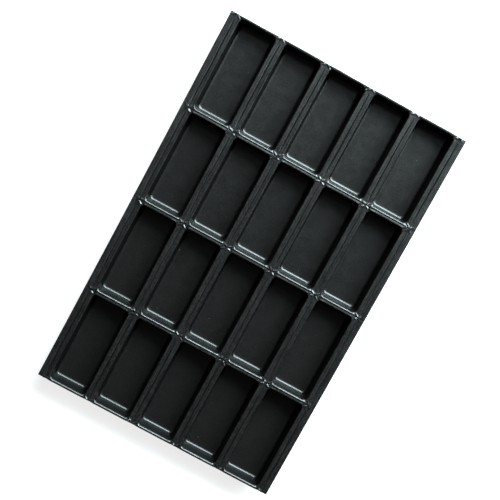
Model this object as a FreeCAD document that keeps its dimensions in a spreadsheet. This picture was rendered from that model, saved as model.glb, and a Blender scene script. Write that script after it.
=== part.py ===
"""Twenty-pocket tray, vacuum formed in one piece from a sheet of black plastic.

One pocket is built with half of the land and half of the ridge on each side of it. That cell is repeated
over the columns and rows, and the plain flanges are added along the two long sides. The two short sides
are cut through the middle of the end ridges, as the trim knife leaves them.
Axes: X across the columns, Y along the rows, Z up, with the pocket bottoms standing on Z = 0.
"""

import FreeCAD
import Part
import os

import Sketcher

NODE = "tray"

# Millimetres, degrees and counts.
SIZES = {
    "columns": 5,
    "rows": 4,
    "pocket_width": 38,
    "pocket_length": 92.5,
    "land_width": 9.5,
    "ridge_width": 5,
    "flange_width": 11,
    "depth": 17,
    "gauge": 1,
    "draft_angle": 6,
    "inner_round": 4,
    "crest_rise": 0.9,
    "crest_root": 0.5,
    "web_width": 1.7,
    "web_rise": 0.45,
    "web_slope": 48,
    "web_start": 1.2,
    "web_clearance": 0.8,
    "groove_width": 0.9,
    "groove_depth": 0.3,
    "groove_slope": 45,
    "groove_end_gap": 7,
}

PITCH_X = "(size.pocket_width + size.land_width)"
PITCH_Y = "(size.pocket_length + size.ridge_width)"
LAND_TOP = "(size.depth + size.gauge)"
DRAFT = "size.draft_angle * 1 deg"
SHELL_OFFSET = f"size.gauge / cos({DRAFT})"
INNER_BEVEL = "size.inner_round * (2 - sqrt(2))"
OUTER_BEVEL = "(size.inner_round + size.gauge) * (2 - sqrt(2))"
CORNER_X = "(size.land_width / 2 + size.inner_round)"
CORNER_Y = "(size.ridge_width / 2 + size.inner_round)"

doc = FreeCAD.newDocument("vacuum_formed_tray")


def make_size_sheet():
    sheet = doc.addObject("Spreadsheet::Sheet", "size")
    for row, (name, number) in enumerate(SIZES.items(), start=1):
        sheet.set(f"A{row}", name)
        sheet.set(f"B{row}", str(number))
        sheet.setAlias(f"B{row}", name)
    doc.recompute()
    return sheet


def make_body():
    body = doc.addObject("PartDesign::Body", NODE)
    body.Label = NODE
    return body


size_sheet = make_size_sheet()
tray = make_body()
origin = {item.Role: item for item in tray.Origin.OriginFeatures}


def value(expression):
    """The number that an expression on the size sheet gives now, to start a sketch from."""
    result = tray.evalExpression(expression)
    return float(getattr(result, "Value", result))


def bind(item, **expressions):
    for name, expression in expressions.items():
        item.setExpression(name, expression)


def new_sketch(name, plane, along_x="0", along_y="0", along_normal="0", turn=None):
    """A sketch on one of the body's planes, moved along its own axes and turned about its normal."""
    sketch = tray.newObject("Sketcher::SketchObject", name)
    sketch.AttachmentSupport = [(origin[plane], "")]
    sketch.MapMode = "FlatFace"
    for axis, expression in zip("xyz", (along_x, along_y, along_normal)):
        sketch.setExpression(f"AttachmentOffset.Base.{axis}", expression)
    if turn:
        sketch.setExpression("AttachmentOffset.Rotation.Angle", turn)
    return sketch


def dimension(sketch, kind, *arguments):
    """A driving dimension whose last argument is an expression."""
    *places, expression = arguments
    index = sketch.addConstraint(Sketcher.Constraint(kind, *places, value(expression)))
    sketch.setExpression(f"Constraints[{index}]", expression)


def add_lines(sketch, points):
    """An open chain of lines through the points, joined end to end."""
    vectors = [FreeCAD.Vector(x, y, 0) for x, y in points]
    lines = [sketch.addGeometry(Part.LineSegment(a, b)) for a, b in zip(vectors, vectors[1:])]
    for first, second in zip(lines, lines[1:]):
        sketch.addConstraint(Sketcher.Constraint("Coincident", first, 2, second, 1))
    return lines


def draw_rectangle(sketch, width, length):
    """A rectangle centred on the sketch's origin."""
    half_w, half_l = value(width) / 2, value(length) / 2
    corners = [(-half_w, -half_l), (half_w, -half_l), (half_w, half_l), (-half_w, half_l)]
    bottom, right, top, left = add_lines(sketch, corners + corners[:1])
    sketch.addConstraint(Sketcher.Constraint("Coincident", left, 2, bottom, 1))
    for line in (bottom, top):
        sketch.addConstraint(Sketcher.Constraint("Horizontal", line))
    for line in (right, left):
        sketch.addConstraint(Sketcher.Constraint("Vertical", line))
    sketch.addConstraint(Sketcher.Constraint("Symmetric", bottom, 1, top, 1, -1, 1))
    dimension(sketch, "DistanceX", bottom, 1, bottom, 2, width)
    dimension(sketch, "DistanceY", right, 1, right, 2, length)


def draw_half_arch(sketch, half_width, rise, root):
    """Half of an arched bead: its middle stands on the sketch's vertical axis, its foot is at height 0 on the
    left, and a straight root reaches below the foot."""
    w, r, d = value(half_width), value(rise), value(root)
    radius = (w * w + r * r) / (2 * r)
    middle, base, side = add_lines(sketch, [(0, r), (0, -d), (-w, -d), (-w, 0)])
    centre = FreeCAD.Vector(0, r - radius, 0)
    circle = Part.Circle(centre, FreeCAD.Vector(0, 0, 1), radius)
    top, foot = FreeCAD.Vector(0, r, 0), FreeCAD.Vector(-w, 0, 0)
    arc = sketch.addGeometry(Part.ArcOfCircle(circle, circle.parameter(top), circle.parameter(foot)))
    join = [("Coincident", arc, 1, middle, 1), ("Coincident", arc, 2, side, 2)]
    square = [("Vertical", middle), ("Horizontal", base), ("Vertical", side)]
    on_axis = [("PointOnObject", middle, 1, -2), ("PointOnObject", arc, 3, -2), ("PointOnObject", side, 2, -1)]
    for constraint in join + square + on_axis:
        sketch.addConstraint(Sketcher.Constraint(*constraint))
    dimension(sketch, "DistanceX", base, 2, base, 1, half_width)
    dimension(sketch, "DistanceY", -1, 1, middle, 1, rise)
    dimension(sketch, "DistanceY", side, 1, side, 2, root)


def new_feature(kind, name, sketch=None, **expressions):
    feature = tray.newObject(f"PartDesign::{kind}", name)
    if sketch:
        feature.Profile = sketch
    bind(feature, **expressions)
    return feature


def spans(low, high):
    """True of an edge or a face that reaches from one height to the other."""

    def wanted(piece):
        box = piece.BoundBox
        return abs(box.ZMin - low) < 0.01 and abs(box.ZMax - high) < 0.01

    return wanted


def named(kind, shape, wanted):
    return [f"{kind}{i}" for i, piece in enumerate(getattr(shape, kind + "s"), start=1) if wanted(piece)]


def round_or_bevel(kind, name, base, wanted, **expressions):
    """A Fillet or Chamfer on the edges of the base that are wanted."""
    feature = tray.newObject(f"PartDesign::{kind}", name)
    feature.Base = (base, named("Edge", base.Shape, wanted))
    bind(feature, **expressions)
    doc.recompute()
    return feature


def lean_walls(name, base, low, high, outwards):
    """Draft on the four walls between two heights, about the plane of the lands."""
    rim = value(LAND_TOP)
    feature = tray.newObject("PartDesign::Draft", name)
    feature.Base = (base, named("Face", base.Shape, spans(low, high)))
    feature.NeutralPlane = (base, named("Face", base.Shape, spans(rim, rim))[:1])
    feature.Reversed = outwards
    bind(feature, Angle="size.draft_angle")
    doc.recompute()
    return feature


def repeat(name, originals, across, along=None):
    """A straight pattern: across is (axis, step, count), and along is a second such row."""
    pattern = tray.newObject("PartDesign::LinearPattern", name)
    if originals:
        pattern.Originals = originals
    else:
        pattern.TransformMode = "Whole shape"
    rows = [("", across)] + ([("2", along)] if along else [])
    for suffix, (axis, step, count) in rows:
        setattr(pattern, "Direction" + suffix, (origin[axis], [""]))
        setattr(pattern, "Mode" + suffix, "Spacing")
        bind(pattern, **{"Offset" + suffix: step, "Occurrences" + suffix: count})
    tray.Tip = pattern
    doc.recompute()
    return pattern


def form_pocket():
    """The cell's flat sheet and its pocket: a block pushed down from the sheet, then hollowed out to the gauge."""
    floor, rim, under_land = value("size.gauge"), value(LAND_TOP), value("size.depth")

    outline = new_sketch("cell_outline", "XY_Plane", along_normal=LAND_TOP)
    draw_rectangle(outline, PITCH_X, PITCH_Y)
    sheet = new_feature("Pad", "cell_sheet", outline, Length="size.gauge")
    sheet.Reversed = True

    outline = new_sketch("shell_outline", "XY_Plane", along_normal=LAND_TOP)
    draw_rectangle(
        outline, f"size.pocket_width + 2 * {SHELL_OFFSET}", f"size.pocket_length + 2 * {SHELL_OFFSET}"
    )
    shell = new_feature("Pad", "pocket_shell", outline, Length=LAND_TOP)
    shell.Reversed = True

    outline = new_sketch("pocket_outline", "XY_Plane", along_normal=LAND_TOP)
    draw_rectangle(outline, "size.pocket_width", "size.pocket_length")
    hollow = new_feature("Pocket", "pocket_hollow", outline, Length="size.depth")
    doc.recompute()
    hollow = lean_walls("pocket_draft", hollow, floor, rim, False)
    cell = lean_walls("shell_draft", hollow, 0, under_land, True)
    cell = round_or_bevel("Fillet", "pocket_corners", cell, spans(floor, rim), Radius="size.inner_round")
    cell = round_or_bevel("Chamfer", "pocket_floor_edge", cell, spans(floor, floor), Size=INNER_BEVEL)
    cell = round_or_bevel("Chamfer", "shell_corners", cell, spans(0, under_land), Size=OUTER_BEVEL)
    round_or_bevel("Chamfer", "shell_foot", cell, spans(0, 0), Size=OUTER_BEVEL)


def mirror_in_cell(name, originals, planes):
    """The originals again on the far side of each of the cell's middle planes."""
    flips = []
    pattern = tray.newObject("PartDesign::MultiTransform", name)
    for plane in planes:
        flip = tray.newObject("PartDesign::Mirrored", f"{name}_{plane[:2].lower()}")
        flip.MirrorPlane = (origin[plane], [""])
        flips.append(flip)
    pattern.Originals = originals
    pattern.Transformations = flips
    tray.Tip = pattern
    doc.recompute()
    return pattern


def form_ridge():
    """Half of a ridge's raised crest along the pocket's end, with its hollow underside."""
    crest_outline = new_sketch("crest_section", "YZ_Plane", along_x=f"{PITCH_Y} / 2", along_y=LAND_TOP)
    draw_half_arch(crest_outline, "size.ridge_width / 2", "size.crest_rise", "size.crest_root")
    crest = new_feature("Pad", "crest", crest_outline, Length=PITCH_X)
    crest.Midplane = True
    doc.recompute()
    mirror_in_cell("crest_pair", [crest], ["XZ_Plane"])

    under = f"size.ridge_width / 2 - {SHELL_OFFSET} + size.gauge * tan({DRAFT})"
    channel_outline = new_sketch("channel_section", "YZ_Plane", along_x=f"{PITCH_Y} / 2", along_y="size.depth")
    draw_half_arch(channel_outline, under, "size.crest_rise", "size.crest_root")
    channel = new_feature("Pocket", "channel", channel_outline, Length=PITCH_X)
    channel.Midplane = True
    doc.recompute()
    mirror_in_cell("channel_pair", [channel], ["XZ_Plane"])


def form_crossing():
    """A web across the land at the cell's corner, from the crest towards the pocket's rounded corner."""
    diagonal = f"sqrt({CORNER_X}^2 + {CORNER_Y}^2)"
    web_end = f"({diagonal} - size.inner_round - size.web_clearance)"
    middle = f"(size.web_start + {web_end}) / 2 / {diagonal}"
    outline = new_sketch(
        "web_outline",
        "XY_Plane",
        f"{PITCH_X} / 2 - {middle} * {CORNER_X}",
        f"{PITCH_Y} / 2 - {middle} * {CORNER_Y}",
        LAND_TOP,
        turn=f"atan({CORNER_Y} / {CORNER_X})",
    )
    draw_rectangle(outline, f"{web_end} - size.web_start", "size.web_width")
    web = new_feature("Pad", "web", outline, Length="size.web_rise", TaperAngle="-size.web_slope")
    doc.recompute()
    mirror_in_cell("webs", [web], ["XZ_Plane", "YZ_Plane"])


def lay_out_cells():
    """The finished cell over the columns and rows, with the first cell about the body's own origin."""
    repeat("column_of_cells", [], ("Y_Axis", PITCH_Y, "size.rows"))
    repeat("cells", [], ("X_Axis", PITCH_X, "size.columns"))


def add_flanges():
    """The plain strips outside the outer cells, level with the lands."""
    strip = "(size.flange_width - size.land_width / 2)"
    outline = new_sketch(
        "flange_outline", "XY_Plane", f"-({PITCH_X} + {strip}) / 2", f"{PITCH_Y} * (size.rows - 1) / 2", LAND_TOP
    )
    draw_rectangle(outline, strip, f"{PITCH_Y} * size.rows")
    flange = new_feature("Pad", "flange", outline, Length="size.gauge")
    flange.Reversed = True
    doc.recompute()
    repeat("flange_pair", [flange], ("X_Axis", f"{PITCH_X} * size.columns + {strip}", "2"))


def press_grooves():
    """The shallow groove along the middle of each land and each flange, once for every row."""
    outline = new_sketch("groove_outline", "XY_Plane", f"-{PITCH_X} / 2", "0", LAND_TOP)
    draw_rectangle(outline, "size.groove_width", f"{PITCH_Y} - 2 * size.groove_end_gap")
    groove = new_feature(
        "Pocket", "groove", outline, Length="size.groove_depth", TaperAngle="-size.groove_slope"
    )
    doc.recompute()
    repeat(
        "grooves",
        [groove],
        ("X_Axis", PITCH_X, "size.columns + 1"),
        ("Y_Axis", PITCH_Y, "size.rows"),
    )


def centre_tray():
    """The tray's place: the middle of its underside is the origin, and the first cell lies at one corner."""
    bind(
        tray,
        **{
            "Placement.Base.x": f"-{PITCH_X} * (size.columns - 1) / 2",
            "Placement.Base.y": f"-{PITCH_Y} * (size.rows - 1) / 2",
        },
    )
    doc.recompute()


def check_document():
    failed = [item.Name for item in doc.Objects if {"Invalid", "Error"} & set(item.State)]
    if failed:
        raise RuntimeError(f"these objects failed to build: {failed}")
    if tray.Shape.isNull() or not tray.Shape.isValid() or len(tray.Shape.Solids) != 1:
        raise RuntimeError("the tray is not one valid solid")


form_pocket()
form_ridge()
form_crossing()
lay_out_cells()
add_flanges()
press_grooves()
centre_tray()
check_document()
os.makedirs("parts", exist_ok=True)
tray.Shape.exportStep(f"parts/{NODE}.step")
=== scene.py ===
"""The finish of a vacuum-formed tray of black plastic, laid out as an add-on and run as a script."""

import math

import bmesh
import bpy
import numpy as np
from mathutils import Matrix, Vector


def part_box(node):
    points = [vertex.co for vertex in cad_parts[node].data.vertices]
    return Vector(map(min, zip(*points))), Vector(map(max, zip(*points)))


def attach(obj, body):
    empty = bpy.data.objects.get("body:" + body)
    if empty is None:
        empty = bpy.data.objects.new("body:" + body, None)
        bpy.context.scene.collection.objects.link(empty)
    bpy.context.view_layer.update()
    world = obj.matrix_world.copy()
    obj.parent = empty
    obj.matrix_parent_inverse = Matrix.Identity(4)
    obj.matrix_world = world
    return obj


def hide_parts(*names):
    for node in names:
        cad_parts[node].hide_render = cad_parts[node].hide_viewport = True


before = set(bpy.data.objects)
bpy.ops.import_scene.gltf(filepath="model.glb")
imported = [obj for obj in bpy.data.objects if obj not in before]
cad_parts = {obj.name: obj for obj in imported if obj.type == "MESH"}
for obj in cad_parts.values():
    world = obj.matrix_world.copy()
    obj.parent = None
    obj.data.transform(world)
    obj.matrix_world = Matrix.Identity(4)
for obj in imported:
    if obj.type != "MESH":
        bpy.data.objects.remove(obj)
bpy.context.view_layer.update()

bl_info = {
    "name": "Vacuum-formed tray",
    "version": (1, 0, 0),
    "blender": (4, 5, 0),
    "location": "View3D > Sidebar > Tray",
    "description": "Builds a one-piece tray of drafted pockets, with its plastic, light and camera",
    "category": "Add Mesh",
}

NODE = "tray"
BODY = "root"
MM = 0.001

(LOW_X, LOW_Y, LOW_Z), (HIGH_X, HIGH_Y, HIGH_Z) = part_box(NODE)
GAUGE = 1.0 * MM
CREST_RISE = 0.9 * MM
LAND_TOP = HIGH_Z - CREST_RISE
COLUMNS, ROWS = 5, 4
FLANGE = 11 * MM
LAND = 9.5 * MM
RIDGE = 5 * MM
PLAN_ROUND = 4 * MM
PITCH_Y = (HIGH_Y - LOW_Y) / ROWS
PITCH_X = (HIGH_X - LOW_X - 2 * FLANGE + LAND) / COLUMNS
CELLS_HALF_X = PITCH_X * COLUMNS / 2
GRID_SIZES = {"Columns": COLUMNS, "Rows": ROWS, "Pitch across": PITCH_X, "Pitch along": PITCH_Y}
# the crest's section: a high lip, a shallow valley and a lower lip, in millimetres and shares of its rise
CREST_ACROSS = (-2.5, -2.15, -1.75, -1.33, -0.9, -0.45, 0.0, 0.25, 0.55, 0.9, 1.33, 1.75, 2.15, 2.5)
CREST_HEIGHT = (0.0, 0.44, 0.64, 0.70, 0.64, 0.54, 0.44, 0.48, 0.72, 0.97, 1.0, 0.82, 0.47, 0.0)
# the half crest at the tray's two ends, from the cut edge inwards
END_ACROSS = (0.0, 1.33, 1.75, 2.15, 2.5)
END_HEIGHT = (0.95, 0.9, 0.75, 0.44, 0.0)
# steps by which a flange is drawn out from the outer cells, finer where a crest ends on it
FLANGE_STEPS = (0.3 * MM, 0.7 * MM, 1.3 * MM, 2.4 * MM, 4.0 * MM, 5.4 * MM, HIGH_X - CELLS_HALF_X)
# the dark and light ends of the grain, as shares of the plastic's colour, and the colour of dust
GRAIN_DARK, GRAIN_LIGHT = 0.05, 1.95
DUST = (0.09, 0.09, 0.085, 1)
DUST_RADIUS, DUST_CORE = 0.5 * MM, 0.2 * MM
# the streaks' width, and the scale of their pattern along the lands: the smaller, the longer they run
STREAK_WIDTH = 1.1 * MM
STREAK_SCALE = 0.03
# sizes of the clouds in the gloss and of the sheet's gentle waves, and the specular level where the painted
# light and shade factor is 1
CLOUD_SIZE = 9 * MM
WAVE_SIZE = 12 * MM
FULL_SPECULAR = 0.5
# the stage floor's reach each way, its gap under the pockets' bottoms, and its glow to the camera
FLOOR_HALF = 3.0
FLOOR_GAP = 0.2 * MM
FLOOR_GLOW = 0.8
WORLD_LIGHT = 0.01
# place, width, length and tint of each lamp: all of them point at the middle of the tray
LAMPS = {
    "key": ((0.42, 1.12, 0.68), 1.6, 0.9, (0.8, 0.97, 1.0)),
    "sky": ((0.0, 0.85, 1.5), 0.9, 0.35, (0.85, 0.95, 1.0)),
    "ceiling": ((0.0, -0.1, 1.3), 1.5, 1.5, (1.0, 0.97, 0.93)),
}


class TraySettings(bpy.types.PropertyGroup):
    draft: bpy.props.FloatProperty(
        name="Wall draft",
        description="Lean of the pocket walls",
        default=math.radians(6),
        subtype="ANGLE",
    )
    floor_round: bpy.props.FloatProperty(
        name="Floor round",
        description="Radius between wall and floor",
        default=3 * MM,
        unit="LENGTH",
    )
    rim_round: bpy.props.FloatProperty(
        name="Rim round",
        description="Radius between land and wall",
        default=0.6 * MM,
        unit="LENGTH",
    )
    groove_depth: bpy.props.FloatProperty(
        name="Groove depth",
        description="Depth of the line pressed along a land",
        default=0.7 * MM,
        unit="LENGTH",
    )
    groove_width: bpy.props.FloatProperty(
        name="Groove width",
        description="Width of the line pressed along a land",
        default=1.1 * MM,
        unit="LENGTH",
    )
    groove_wander: bpy.props.FloatProperty(
        name="Groove wander",
        description="How far that line strays sideways",
        default=0.22 * MM,
        unit="LENGTH",
    )
    web_rise: bpy.props.FloatProperty(
        name="Web rise",
        description="Height of the folds at a crossing",
        default=0.65 * MM,
        unit="LENGTH",
    )
    land_lip: bpy.props.FloatProperty(
        name="Land lip",
        description="Height of the lip along the pockets' long rims",
        default=0.16 * MM,
        unit="LENGTH",
    )
    edge_bow: bpy.props.FloatProperty(
        name="Edge bow",
        description="How far the left cut edge bows inwards",
        default=0.4 * MM,
        unit="LENGTH",
    )
    edge_wander: bpy.props.FloatProperty(
        name="Edge wander",
        description="How uneven the far cut end is",
        default=0.35 * MM,
        unit="LENGTH",
    )
    seed: bpy.props.IntProperty(
        name="Seed",
        description="Seed of the uneven forming",
        default=7,
    )


class PlasticSettings(bpy.types.PropertyGroup):
    color: bpy.props.FloatVectorProperty(
        name="Plastic",
        description="Colour of the sheet",
        default=(0.0056, 0.005, 0.005),
        size=3,
        subtype="COLOR",
    )
    roughness: bpy.props.FloatProperty(
        name="Roughness",
        description="Roughness of the sheet",
        default=0.33,
        subtype="FACTOR",
    )
    # painted shade: darkens the walls' colour and specular level against the floors'
    wall_painted_shade: bpy.props.FloatProperty(
        name="Wall sheen",
        description="Brightness of the drawn walls against that of the floors",
        default=0.28,
    )
    # painted light: lightens the lands' colour and specular level against the floors'
    land_painted_light: bpy.props.FloatProperty(
        name="Land sheen",
        description="Brightness of the lands against that of the floors",
        default=1.16,
    )
    streaks: bpy.props.FloatProperty(
        name="Streaks",
        description="How uneven the sheen is across a land",
        default=0.22,
        subtype="FACTOR",
    )
    dust_gap: bpy.props.FloatProperty(
        name="Dust gap",
        description="Distance between specks of dust",
        default=14 * MM,
        unit="LENGTH",
    )
    grain: bpy.props.FloatProperty(
        name="Grain",
        description="Size of the sheet's fine grain",
        default=1.1 * MM,
        unit="LENGTH",
    )


class StageSettings(bpy.types.PropertyGroup):
    floor_color: bpy.props.FloatVectorProperty(
        name="Floor",
        description="Colour of the floor",
        default=(0.35, 0.35, 0.35),
        size=3,
        subtype="COLOR",
    )
    key_power: bpy.props.FloatProperty(
        name="Key light",
        description="Power of the large light behind the tray",
        default=140.0,
        unit="POWER",
    )
    fill_power: bpy.props.FloatProperty(
        name="Fill light",
        description="Power of the soft light over the tray",
        default=0.35,
        unit="POWER",
    )
    sky_power: bpy.props.FloatProperty(
        name="Sky light",
        description="Power of the cool light high behind the tray",
        default=3.0,
        unit="POWER",
    )
    camera_place: bpy.props.FloatVectorProperty(
        name="Camera",
        description="Place of the camera",
        default=(-0.0448, 0.0831, 0.8452),
        size=3,
        subtype="XYZ",
    )
    camera_aim: bpy.props.FloatVectorProperty(
        name="Aim",
        description="Point that the camera looks at",
        default=(-0.0036, 0.0081, 0.018),
        size=3,
        subtype="XYZ",
    )
    camera_turn: bpy.props.FloatProperty(
        name="Turn",
        description="Turn of the camera about its view",
        default=math.radians(28.63),
        subtype="ANGLE",
    )
    lens: bpy.props.FloatProperty(
        name="Lens",
        description="Focal length in millimetres",
        default=63.2,
    )


def smoothstep(low, high, x):
    """0 below low, 1 above high, and a smooth rise between. It falls where low is above high."""
    t = np.clip((x - low) / (high - low), 0.0, 1.0)
    return t * t * (3 - 2 * t)


def bump(distance, width):
    """A rounded rib: 1 on its line and 0 a width away."""
    t = np.clip(1 - (distance / width) ** 2, 0.0, 1.0)
    return t * t


# ---------------------------------------------------------------- the plastic


class NodeKit:
    """A material's nodes: the few kinds that the plastic is made from."""

    def __init__(self, material):
        self.nodes = material.node_tree.nodes
        self.links = material.node_tree.links
        self.place = self.nodes.new("ShaderNodeTexCoord").outputs["Object"]
        split = self.nodes.new("ShaderNodeSeparateXYZ")
        self.links.new(self.place, split.inputs["Vector"])
        self.height = split.outputs["Z"]

    def noise(self, size, detail, roughness=0.5, place=None):
        node = self.nodes.new("ShaderNodeTexNoise")
        node.inputs["Scale"].default_value = 1 / size
        node.inputs["Detail"].default_value = detail
        node.inputs["Roughness"].default_value = roughness
        self.links.new(self.place if place is None else place, node.inputs["Vector"])
        return node.outputs["Fac"]

    def spread(self, value, start, stop, low, high, kind="LINEAR"):
        """Map start to stop onto low to high."""
        node = self.nodes.new("ShaderNodeMapRange")
        node.interpolation_type = kind
        node.inputs["From Min"].default_value = start
        node.inputs["From Max"].default_value = stop
        node.inputs["To Min"].default_value = low
        node.inputs["To Max"].default_value = high
        self.links.new(value, node.inputs["Value"])
        return node.outputs["Result"]

    def uneven(self, noise, low, high):
        """Map the middle fifth of a noise onto low to high."""
        return self.spread(noise, 0.4, 0.6, low, high)

    def by_height(self, start, stop, low, high):
        return self.spread(self.height, start, stop, low, high, "SMOOTHSTEP")

    def calculate(self, operation, first, second):
        """A sum or product. The second may be a plain number."""
        node = self.nodes.new("ShaderNodeMath")
        node.operation = operation
        self.links.new(first, node.inputs[0])
        if isinstance(second, float):
            node.inputs[1].default_value = second
        else:
            self.links.new(second, node.inputs[1])
        return node.outputs[0]

    def blend(self, share, first, second):
        """A colour from first to second. The first may be a socket."""
        node = self.nodes.new("ShaderNodeMix")
        node.data_type = "RGBA"
        node.inputs["B"].default_value = second
        self.links.new(share, node.inputs["Factor"])
        if isinstance(first, tuple):
            node.inputs["A"].default_value = first
        else:
            self.links.new(first, node.inputs["A"])
        return node.outputs["Result"]

    def bump(self, height, strength, distance):
        node = self.nodes.new("ShaderNodeBump")
        node.inputs["Strength"].default_value = strength
        node.inputs["Distance"].default_value = distance
        self.links.new(height, node.inputs["Height"])
        return node


def painted_shade_and_light(kit, settings):
    """Painted light and shade on colour and specular level: 1 on the floors, less on the walls as painted
    shade, and more on the lands as painted light, where it also runs in streaks.
    """
    foot, brim = LOW_Z + 3 * MM, LAND_TOP - 1.2 * MM
    # painted shade: colour and specular level fall from the floors' level up the walls
    painted_wall_shade = kit.by_height(LOW_Z + GAUGE, foot, 1.0, settings.wall_painted_shade)
    # painted light: colour and specular level rise again at the lands, above the floors' level
    painted_land_light = kit.by_height(brim, LAND_TOP, 1.0, settings.land_painted_light / settings.wall_painted_shade)
    stretch = kit.nodes.new("ShaderNodeMapping")
    stretch.inputs["Scale"].default_value = (1, STREAK_SCALE, 1)
    kit.links.new(kit.place, stretch.inputs["Vector"])
    streaks = kit.noise(STREAK_WIDTH, 2, place=stretch.outputs["Vector"])
    streaks = kit.uneven(streaks, -settings.streaks, settings.streaks)
    on_lands = kit.calculate("MULTIPLY", streaks, kit.by_height(brim, LAND_TOP, 0.0, 1.0))
    # the random streaks, times the painted light at the lands
    streaked_land_light = kit.calculate("MULTIPLY", kit.calculate("ADD", on_lands, 1.0), painted_land_light)
    return kit.calculate("MULTIPLY", painted_wall_shade, streaked_land_light)


def speckled_black(kit, settings):
    """The plastic's colour: fine grain, and a speck of dust in the middle of each random cell."""
    dark = (*[part * GRAIN_DARK for part in settings.color], 1)
    light = (*[part * GRAIN_LIGHT for part in settings.color], 1)
    grain = kit.blend(kit.uneven(kit.noise(settings.grain, 3, 0.7), 0.0, 1.0), dark, light)
    cells = kit.nodes.new("ShaderNodeTexVoronoi")
    cells.inputs["Scale"].default_value = 1 / settings.dust_gap
    kit.links.new(kit.place, cells.inputs["Vector"])
    edge, core = DUST_RADIUS / settings.dust_gap, DUST_CORE / settings.dust_gap
    speck = kit.spread(cells.outputs["Distance"], edge, core, 0.0, 1.0)
    return kit.blend(speck, grain, DUST)


def plastic_material(settings):
    """Black sheet with a fine grain, with painted shade darkening its walls and painted light on its lands,
    which are also streaked.
    """
    material = bpy.data.materials.new("black sheet plastic")
    material.use_nodes = True
    kit = NodeKit(material)
    links = kit.links
    shader = kit.nodes["Principled BSDF"]
    painted_brightness = painted_shade_and_light(kit, settings)
    # the painted light and shade scale the specular level here and the colour below
    links.new(kit.calculate("MULTIPLY", painted_brightness, FULL_SPECULAR), shader.inputs["Specular IOR Level"])
    lift = kit.nodes.new("ShaderNodeVectorMath")
    lift.operation = "SCALE"
    links.new(speckled_black(kit, settings), lift.inputs[0])
    links.new(painted_brightness, lift.inputs["Scale"])
    links.new(lift.outputs["Vector"], shader.inputs["Base Color"])

    clouds = kit.noise(CLOUD_SIZE, 5)
    clouded = kit.uneven(clouds, settings.roughness - 0.015, settings.roughness + 0.02)
    links.new(clouded, shader.inputs["Roughness"])
    shader.inputs["IOR"].default_value = 1.5

    grain = kit.bump(kit.noise(settings.grain, 4, 0.7), 0.5, 0.12 * MM)
    waves = kit.bump(kit.noise(WAVE_SIZE, 2), 0.04, 0.2 * MM)
    links.new(grain.outputs["Normal"], waves.inputs["Normal"])
    links.new(waves.outputs["Normal"], shader.inputs["Normal"])
    return material


# ---------------------------------------------------------------- one cell of the sheet


def corner_angles():
    """Directions round a pocket's corner: one of them points at the middle of the crossing."""
    diagonal = math.atan2(RIDGE / 2 + PLAN_ROUND, LAND / 2 + PLAN_ROUND)
    first = [diagonal * i / 7 for i in range(7)]
    return first + [diagonal + (math.pi / 2 - diagonal) * i / 10 for i in range(11)]


def ring(half_x, half_y, radius, reach=None):
    """A rounded rectangle's points. With reach, corner points slide out along their rays to square it."""
    angles = corner_angles()
    cx, cy = half_x - radius, half_y - radius

    def corner(sign_x, sign_y, order):
        points = []
        for angle in order:
            c, s = math.cos(angle), math.sin(angle)
            r = radius
            if reach:
                r = min(reach[0] / max(c, 1e-9), reach[1] / max(s, 1e-9))
            points.append((sign_x * (cx + r * c), sign_y * (cy + r * s)))
        return points

    side_y = np.linspace(-cy, cy, 11)[1:-1]
    side_x = np.linspace(-cx, cx, 7)[1:-1]
    out_x = cx + reach[0] if reach else half_x
    out_y = cy + reach[1] if reach else half_y
    points = [(out_x, y) for y in side_y]
    points += corner(1, 1, angles)
    points += [(x, out_y) for x in side_x[::-1]]
    points += corner(-1, 1, angles[::-1])
    points += [(-out_x, y) for y in side_y[::-1]]
    points += corner(-1, -1, angles)
    points += [(x, -out_y) for x in side_x]
    points += corner(1, -1, angles[::-1])
    return np.array(points)


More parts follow.
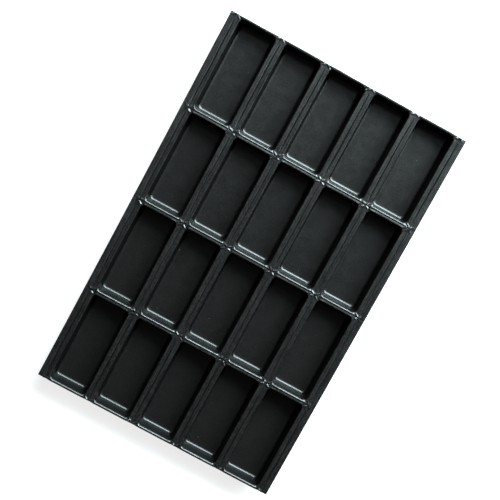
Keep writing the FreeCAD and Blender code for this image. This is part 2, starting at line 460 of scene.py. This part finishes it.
def cell_mesh(settings):
    """One pocket with half of the land and ridge on each side, as a grid of rings from its floor outwards."""
    half_x, half_y = (PITCH_X - LAND) / 2, (PITCH_Y - RIDGE) / 2
    floor = LOW_Z + GAUGE
    lean = math.tan(settings.draft)
    swing = math.pi / 2 - settings.draft
    radius = settings.floor_round
    rings = []

    # the round between floor and wall
    round_top = floor + radius * (1 - math.cos(swing))
    inset_wall = (LAND_TOP - round_top) * lean
    centre_inset = inset_wall + radius * math.sin(swing)
    for turn in np.linspace(0, swing, 7):
        inset = centre_inset - radius * math.sin(turn)
        z = floor + radius * (1 - math.cos(turn))
        shrink = PLAN_ROUND - 0.25 * (inset - inset_wall)
        rings.append((ring(half_x - inset, half_y - inset, shrink), z))
    inner = rings[0][0] * (1 - 1.5 * MM / half_x)
    rings.insert(0, (inner, floor))

    # the straight wall, and the round between wall and land
    tangent = settings.rim_round * math.tan(swing / 2)
    rim_foot = LAND_TOP - tangent * math.cos(settings.draft)
    middle = (round_top + rim_foot) / 2
    inset = (LAND_TOP - middle) * lean
    rings.append((ring(half_x - inset, half_y - inset, PLAN_ROUND), middle))
    for turn in np.linspace(swing, 0, 4):
        inset = -tangent + settings.rim_round * math.sin(turn)
        z = LAND_TOP - settings.rim_round * (1 - math.cos(turn))
        rings.append((ring(half_x - inset, half_y - inset, PLAN_ROUND - min(inset, 0)), z))

    # the land and ridge, out to the cell's square edge
    rim = rings[-1][0]
    edge = ring(half_x, half_y, PLAN_ROUND, reach=(LAND / 2 + PLAN_ROUND, RIDGE / 2 + PLAN_ROUND))
    for share in (0.14, 0.3, 0.47, 0.64, 0.78, 0.87, 0.925, 0.965, 1.0):
        rings.append((rim + share * (edge - rim), LAND_TOP))

    points = [(x, y, z) for plan, z in rings for x, y in plan]
    count = len(rings[0][0])
    faces = [tuple(range(count))]
    for level in range(len(rings) - 1):
        for i in range(count):
            j = (i + 1) % count
            a, b = level * count, (level + 1) * count
            faces.append((a + i, b + i, b + j, a + j))
    mesh = bpy.data.meshes.new("cell")
    mesh.from_pydata(points, [], faces)
    work = bmesh.new()
    work.from_mesh(mesh)
    bmesh.ops.recalc_face_normals(work, faces=work.faces)
    if sum(face.normal.z * face.calc_area() for face in work.faces) < 0:
        bmesh.ops.reverse_faces(work, faces=work.faces)
    work.to_mesh(mesh)
    work.free()
    return mesh


# ---------------------------------------------------------------- the grid of cells


def cell_grid_tree(material):
    """Geometry Nodes: the cell on a grid of columns and rows, made one sheet."""
    tree = bpy.data.node_groups.new("cell grid", "GeometryNodeTree")
    sockets = tree.interface
    sockets.new_socket("Geometry", in_out="INPUT", socket_type="NodeSocketGeometry")
    for name, value in GRID_SIZES.items():
        kind = "NodeSocketInt" if isinstance(value, int) else "NodeSocketFloat"
        sockets.new_socket(name, in_out="INPUT", socket_type=kind)
    sockets.new_socket("Geometry", in_out="OUTPUT", socket_type="NodeSocketGeometry")
    nodes, links = tree.nodes, tree.links
    given, result = nodes.new("NodeGroupInput"), nodes.new("NodeGroupOutput")

    def span(count, pitch):
        """The distance between the middles of the first and the last cell."""
        less = nodes.new("ShaderNodeMath")
        less.operation = "SUBTRACT"
        less.inputs[1].default_value = 1
        times = nodes.new("ShaderNodeMath")
        times.operation = "MULTIPLY"
        links.new(given.outputs[count], less.inputs[0])
        links.new(less.outputs[0], times.inputs[0])
        links.new(given.outputs[pitch], times.inputs[1])
        return times.outputs[0]

    grid = nodes.new("GeometryNodeMeshGrid")
    links.new(span("Columns", "Pitch across"), grid.inputs["Size X"])
    links.new(span("Rows", "Pitch along"), grid.inputs["Size Y"])
    links.new(given.outputs["Columns"], grid.inputs["Vertices X"])
    links.new(given.outputs["Rows"], grid.inputs["Vertices Y"])
    place = nodes.new("GeometryNodeInstanceOnPoints")
    links.new(grid.outputs["Mesh"], place.inputs["Points"])
    links.new(given.outputs["Geometry"], place.inputs["Instance"])
    real = nodes.new("GeometryNodeRealizeInstances")
    links.new(place.outputs["Instances"], real.inputs["Geometry"])
    join = nodes.new("GeometryNodeMergeByDistance")
    join.inputs["Distance"].default_value = 0.02 * MM
    links.new(real.outputs["Geometry"], join.inputs["Geometry"])
    finish = nodes.new("GeometryNodeSetMaterial")
    finish.inputs["Material"].default_value = material
    links.new(join.outputs["Geometry"], finish.inputs["Geometry"])
    links.new(finish.outputs["Geometry"], result.inputs["Geometry"])
    return tree


def lay_out_cells(settings, material):
    """The whole grid of cells as one plain mesh."""
    piece = bpy.data.objects.new("formed_sheet", cell_mesh(settings))
    bpy.context.scene.collection.objects.link(piece)
    modifier = piece.modifiers.new("cells", "NODES")
    modifier.node_group = cell_grid_tree(material)
    for socket in modifier.node_group.interface.items_tree:
        if socket.name in GRID_SIZES:
            modifier[socket.identifier] = GRID_SIZES[socket.name]
    evaluated = piece.evaluated_get(bpy.context.evaluated_depsgraph_get())
    mesh = bpy.data.meshes.new_from_object(evaluated)
    piece.modifiers.clear()
    piece.data = mesh
    return piece


def add_flanges(mesh):
    """The flat strips outside the outer cells, drawn out from the grid's two long edges in steps."""
    work = bmesh.new()
    work.from_mesh(mesh)
    for side in (-1, 1):
        front = [
            edge
            for edge in work.edges
            if edge.is_boundary and all(abs(v.co.x - side * CELLS_HALF_X) < 0.01 * MM for v in edge.verts)
        ]
        for step in FLANGE_STEPS:
            grown = bmesh.ops.extrude_edge_only(work, edges=front)["geom"]
            front = [item for item in grown if isinstance(item, bmesh.types.BMEdge)]
            moved = {item for item in grown if isinstance(item, bmesh.types.BMVert)}
            for vertex in moved:
                vertex.co.x = side * (CELLS_HALF_X + step)
            front = [edge for edge in front if moved.issuperset(edge.verts)]
    bmesh.ops.recalc_face_normals(work, faces=work.faces)
    if sum(face.normal.z * face.calc_area() for face in work.faces) < 0:
        bmesh.ops.reverse_faces(work, faces=work.faces)
    work.to_mesh(mesh)
    work.free()


# ---------------------------------------------------------------- the relief of lands, ridges and crossings


def crossing_places():
    """Every place where a ridge meets a land or a flange."""
    xs = [(column - COLUMNS / 2) * PITCH_X for column in range(COLUMNS + 1)]
    ys = [(row - ROWS / 2) * PITCH_Y for row in range(ROWS + 1)]
    return [(x, y) for x in xs for y in ys]


def crossing_relief(u, v, settings, random):
    """Height of one crossing's mounds, folds and lips, all a little different from those of the next."""
    height = np.zeros_like(u)
    # a mound on each side of the middle
    for side in (-1, 1):
        place_x = side * random.uniform(0.9, 1.9) * MM
        place_y = random.uniform(0.1, 1.3) * MM
        size = random.uniform(1.1, 1.6) * MM
        height += random.uniform(0.35, 0.7) * CREST_RISE * bump(np.hypot(u - place_x, v - place_y), size)
    # towards each pocket's corner a fold with a groove beside it, and a lip round the corner
    centre_x, centre_y = LAND / 2 + PLAN_ROUND, RIDGE / 2 + PLAN_ROUND
    for sign_x in (-1, 1):
        for sign_y in (-1, 1):
            angle = math.atan2(centre_y, centre_x) + random.uniform(-0.14, 0.14)
            along = sign_x * u * math.cos(angle) + sign_y * v * math.sin(angle)
            beside = -sign_x * u * math.sin(angle) + sign_y * v * math.cos(angle)
            end = random.uniform(5.2, 6.8) * MM
            window = smoothstep(0.8 * MM, 2.0 * MM, along) * smoothstep(end, end - 1.8 * MM, along)
            strength = settings.web_rise * random.uniform(0.5, 1.2)
            shift = random.uniform(-0.4, 0.4) * MM
            height += strength * window * bump(beside - shift, 0.8 * MM)
            height -= 0.6 * strength * window * bump(beside - shift + 1.2 * MM, 0.8 * MM)
            from_centre = np.hypot(sign_x * u - centre_x, sign_y * v - centre_y)
            turned = (sign_x * u < centre_x) & (sign_y * v < centre_y)
            lip = bump(from_centre - PLAN_ROUND - 0.9 * MM, 0.8 * MM) * turned
            height += random.uniform(0.15, 0.45) * settings.web_rise * lip
    return height


def relief(x, y, settings):
    """Height over the flat lands at each point of the sheet."""
    random = np.random.default_rng(settings.seed)
    across = (y - LOW_Y + PITCH_Y / 2) % PITCH_Y - PITCH_Y / 2
    ridge = np.abs(across)
    land = np.abs((x + CELLS_HALF_X + PITCH_X / 2) % PITCH_X - PITCH_X / 2)
    flange_side = np.abs(x) > CELLS_HALF_X
    land = np.where(flange_side, np.abs(x) - CELLS_HALF_X, land)

    # the crest, with a valley along it, sinks into the crossing and ends in a nub on each flange
    ends = np.where(flange_side, smoothstep(1.6 * MM, 0.2 * MM, land), 1.0)
    sink = 0.25 + 0.75 * smoothstep(3.6 * MM, 7.2 * MM, np.where(flange_side, 8 * MM, land))
    at_end = HIGH_Y - np.abs(y) < RIDGE
    crest = np.interp(across / MM, CREST_ACROSS, CREST_HEIGHT)
    crest = np.where(at_end, np.interp(ridge / MM, END_ACROSS, END_HEIGHT), crest)
    crest = CREST_RISE * crest * sink * ends

    # a low lip runs along the pockets' long rims
    lip = smoothstep(5 * MM, 8 * MM, ridge) * bump(land - 4.0 * MM, 0.8 * MM)
    height = crest + settings.land_lip * lip
    for cx, cy in crossing_places():
        near = (np.abs(x - cx) < 11 * MM) & (np.abs(y - cy) < 9 * MM)
        height[near] += crossing_relief(x[near] - cx, y[near] - cy, settings, random)
    height = np.minimum(height, CREST_RISE)

    # the line along the middle of a land fades before each crossing, and is deeper in the outer rows
    fade = smoothstep(4.5 * MM, 9 * MM, ridge)
    from_middle = np.abs(y + 4 * MM * np.sin(x / (20 * MM)))
    strength = 0.7 + 0.3 * smoothstep(0.45 * HIGH_Y, 0.55 * HIGH_Y, from_middle)
    height -= settings.groove_depth * fade * strength * bump(land, settings.groove_width / 2 + 0.2 * MM)
    return height


def press_relief(mesh, settings):
    """Move the sheet by its relief, and its edges by their bow and wander. The pockets keep still."""
    count = len(mesh.vertices)
    points = np.empty(count * 3)
    mesh.vertices.foreach_get("co", points)
    points = points.reshape(-1, 3)
    x, y, z = points.T.copy()
    held = smoothstep(LAND_TOP - 3.2 * MM, LAND_TOP - GAUGE, z)
    line = np.round((x + CELLS_HALF_X) / PITCH_X)
    beside = np.abs(x + CELLS_HALF_X - line * PITCH_X)
    wander = np.sin(y / (17 * MM) + 2.1 * line) + 0.6 * np.sin(y / (7 * MM) - 1.3 * line)
    points[:, 0] += settings.groove_wander * wander * held * smoothstep(3.2 * MM, 0.6 * MM, beside)
    points[:, 2] += held * relief(x, y, settings)

    # the trimmed edges: the left one bows inwards, and the far end wanders, except at its second pocket
    bow = settings.edge_bow * (1 - (y / HIGH_Y) ** 2) * smoothstep(-HIGH_X + 6 * MM, -HIGH_X, x)
    points[:, 0] += bow
    second_pocket = bump(x + PITCH_X, 0.75 * PITCH_X)
    ragged = 0.55 + 0.25 * np.sin(x / (9 * MM)) + 0.2 * np.sin(x / (3.7 * MM) + 1)
    near_end = smoothstep(HIGH_Y - 2.4 * MM, HIGH_Y, y)
    points[:, 1] -= settings.edge_wander * ragged * (1 - second_pocket) * near_end
    points[:, 2] = np.minimum(points[:, 2], HIGH_Z)
    mesh.vertices.foreach_set("co", points.ravel())
    mesh.update()


class TRAY_OT_sheet(bpy.types.Operator):
    """Form the whole sheet: pockets, lands, ridges, crossings and trimmed edges"""

    bl_idname = "tray.sheet"
    bl_label = "Formed sheet"

    def execute(self, context):
        settings = context.scene.tray_sheet
        material = plastic_material(context.scene.tray_plastic)
        piece = lay_out_cells(settings, material)
        add_flanges(piece.data)
        wall = piece.modifiers.new("gauge", "SOLIDIFY")
        wall.thickness = GAUGE
        wall.offset = -1
        wall.use_even_offset = True
        evaluated = piece.evaluated_get(context.evaluated_depsgraph_get())
        mesh = bpy.data.meshes.new_from_object(evaluated)
        piece.modifiers.clear()
        piece.data = mesh
        press_relief(mesh, settings)
        mesh.shade_smooth()
        mesh.set_sharp_from_angle(angle=math.radians(50))
        if not len(mesh.polygons):
            raise RuntimeError("the sheet has no faces")
        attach(piece, BODY)
        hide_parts(NODE)
        return {"FINISHED"}


# ---------------------------------------------------------------- the stage


def floor_material(settings):
    """Pale floor that shows white where no shadow falls."""
    material = bpy.data.materials.new("pale floor")
    material.use_nodes = True
    nodes, links = material.node_tree.nodes, material.node_tree.links
    shader = nodes["Principled BSDF"]
    shader.inputs["Base Color"].default_value = (*settings.floor_color, 1)
    shader.inputs["Roughness"].default_value = 0.9
    shader.inputs["Specular IOR Level"].default_value = 0.1
    shader.inputs["Emission Color"].default_value = (1, 1, 1, 1)
    path = nodes.new("ShaderNodeLightPath")
    seen = nodes.new("ShaderNodeMath")
    seen.operation = "MAXIMUM"
    links.new(path.outputs["Is Camera Ray"], seen.inputs[0])
    links.new(path.outputs["Is Transmission Ray"], seen.inputs[1])
    glow = nodes.new("ShaderNodeMath")
    glow.operation = "MULTIPLY"
    glow.inputs[1].default_value = FLOOR_GLOW
    links.new(seen.outputs[0], glow.inputs[0])
    links.new(glow.outputs[0], shader.inputs["Emission Strength"])
    return material


def add_lamp(name, power):
    """An area light of LAMPS, turned to the middle of the tray."""
    place, width, length, tint = LAMPS[name]
    data = bpy.data.lights.new(name, "AREA")
    data.shape = "RECTANGLE"
    data.size = width
    data.size_y = length
    data.energy = power
    data.color = tint
    light = bpy.data.objects.new(name, data)
    light.location = place
    light.rotation_euler = (-Vector(place)).to_track_quat("-Z", "Y").to_euler()
    bpy.context.scene.collection.objects.link(light)


def add_camera(settings):
    """The camera, aimed at a point and turned about its view so that the tray lies aslant."""
    data = bpy.data.cameras.new("camera")
    data.lens = settings.lens
    data.sensor_width = 36
    camera = bpy.data.objects.new("camera", data)
    place, aim = Vector(settings.camera_place), Vector(settings.camera_aim)
    back = (place - aim).normalized()
    turn = settings.camera_turn
    right = Vector((-math.sin(turn), math.cos(turn), 0)).cross(back).normalized()
    up = back.cross(right)
    camera.matrix_world = Matrix.Translation(place) @ Matrix((right, up, back)).transposed().to_4x4()
    bpy.context.scene.collection.objects.link(camera)
    bpy.context.scene.camera = camera


class TRAY_OT_stage(bpy.types.Operator):
    """Add the floor, the lights, the world and the camera"""

    bl_idname = "tray.stage"
    bl_label = "Stage"

    def execute(self, context):
        scene = context.scene
        settings = scene.tray_stage
        mesh = bpy.data.meshes.new("floor")
        level = LOW_Z - FLOOR_GAP
        corners = [(x * FLOOR_HALF, y * FLOOR_HALF, level) for x, y in ((-1, -1), (1, -1), (1, 1), (-1, 1))]
        mesh.from_pydata(corners, [], [(0, 1, 2, 3)])
        mesh.materials.append(floor_material(settings))
        floor = bpy.data.objects.new("floor", mesh)
        scene.collection.objects.link(floor)

        add_lamp("key", settings.key_power)
        add_lamp("sky", settings.sky_power)
        add_lamp("ceiling", settings.fill_power)
        world = bpy.data.worlds.new("world")
        scene.world = world
        world.use_nodes = True
        nodes, links = world.node_tree.nodes, world.node_tree.links
        background = nodes["Background"]
        background.inputs["Color"].default_value = (1, 1, 1, 1)
        path = nodes.new("ShaderNodeLightPath")
        strength = nodes.new("ShaderNodeMapRange")
        strength.inputs["To Min"].default_value = WORLD_LIGHT
        strength.inputs["To Max"].default_value = 1.0
        links.new(path.outputs["Is Camera Ray"], strength.inputs["Value"])
        links.new(strength.outputs["Result"], background.inputs["Strength"])
        scene.view_settings.view_transform = "Standard"
        add_camera(settings)
        return {"FINISHED"}


class TRAY_PT_panel(bpy.types.Panel):
    """Lists the pieces that this file builds"""

    bl_idname = "TRAY_PT_panel"
    bl_label = "Vacuum-formed tray"
    bl_space_type = "VIEW_3D"
    bl_region_type = "UI"
    bl_category = "Tray"

    def draw(self, context):
        for operator in (TRAY_OT_sheet, TRAY_OT_stage):
            self.layout.operator(operator.bl_idname)
        for group in (context.scene.tray_sheet, context.scene.tray_plastic, context.scene.tray_stage):
            for name in group.__annotations__:
                self.layout.prop(group, name)


GROUPS = {"tray_sheet": TraySettings, "tray_plastic": PlasticSettings, "tray_stage": StageSettings}
CLASSES = (*GROUPS.values(), TRAY_OT_sheet, TRAY_OT_stage, TRAY_PT_panel)


def register():
    for item in CLASSES:
        bpy.utils.register_class(item)
    for name, group in GROUPS.items():
        setattr(bpy.types.Scene, name, bpy.props.PointerProperty(type=group))


def unregister():
    for name in GROUPS:
        delattr(bpy.types.Scene, name)
    for item in reversed(CLASSES):
        bpy.utils.unregister_class(item)


def main():
    register()
    bpy.ops.tray.stage()
    bpy.ops.tray.sheet()


if __name__ == "__main__":
    main()
